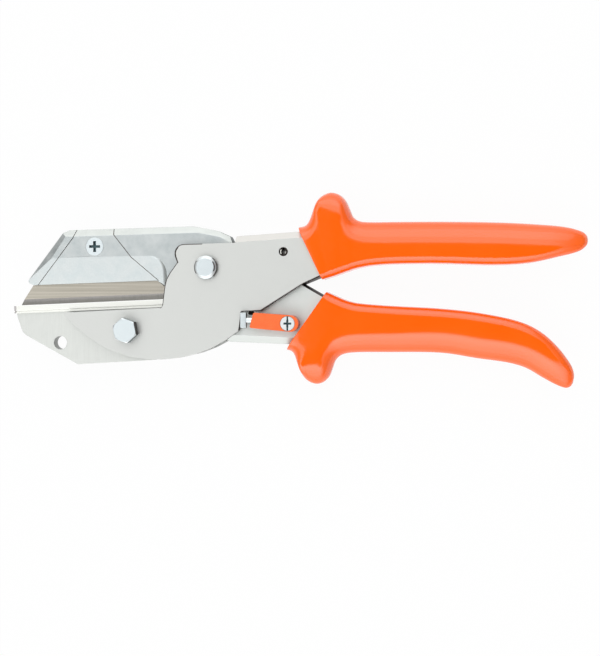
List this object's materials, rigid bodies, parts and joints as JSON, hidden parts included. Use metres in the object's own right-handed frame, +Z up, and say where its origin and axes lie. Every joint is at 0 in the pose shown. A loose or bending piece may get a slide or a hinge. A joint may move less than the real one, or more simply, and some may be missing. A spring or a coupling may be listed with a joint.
{
  "type": "anvil cutter",
  "caption": "Hand anvil cutter with a straight clamped blade closing on a flat anvil, two glossy finger-guard grips, an inner return spring and a latch lever on the lower handle",
  "frame": {"origin": "middle of the length and the breadth, on the surface that the tool lies on", "axes": "+X runs from the jaws to the handles, +Y from the lower handle to the upper handle, +Z up out of the front cheek"},
  "size_m": [0.2572, 0.0858, 0.0234],
  "materials": {
    "frame_metal": "satin",
    "carrier_metal": "fine ground",
    "anvil_metal": "bright satin",
    "arm_metal": "zinc plated, mottled",
    "blade_steel": "ground along the edge",
    "bright_zinc": "blue-white zinc",
    "spring_steel": "oiled",
    "bush_brass": "turned",
    "grip_orange": "dipped, glossy",
    "latch_orange": "moulded, glossy"
  },
  "bodies": {
    "anvil_side": {"anvil_frame": "frame_metal", "upper_grip": "grip_orange", "anvil_carrier": "carrier_metal", "anvil_strip": "anvil_metal", "anvil_bolt": "bright_zinc", "anvil_nut": "bright_zinc", "pivot_bolt": "bright_zinc", "pivot_washer": "bright_zinc", "pivot_nut": "bright_zinc", "spring_pin": "spring_steel", "return_spring": "spring_steel"},
    "blade_side": {"blade_arm": "arm_metal", "pivot_bush": "bush_brass", "thrust_washers": "bush_brass", "blade": "blade_steel", "blade_clamp": "arm_metal", "clamp_screw": "bright_zinc", "lower_grip": "grip_orange", "latch_screw": "bright_zinc", "latch_washer": "bright_zinc"},
    "latch": {"latch_lever": "latch_orange", "latch_stud": "bright_zinc", "latch_bush": "bush_brass"}
  },
  "joints": [
    {"name": "arm_pivot", "type": "hinge", "parent": "anvil_side", "child": "blade_side", "pos_m": [-0.0374, 0.00971, 0.0117], "axis": [0, 0, -1], "range_deg": [0, 30], "deforming": ["return_spring"]},
    {"name": "latch_pivot", "type": "hinge", "parent": "blade_side", "child": "latch", "pos_m": [-0.0006, -0.01508, 0.0197], "axis": [0, 0, 1], "range_deg": [0, 40]}
  ]
}
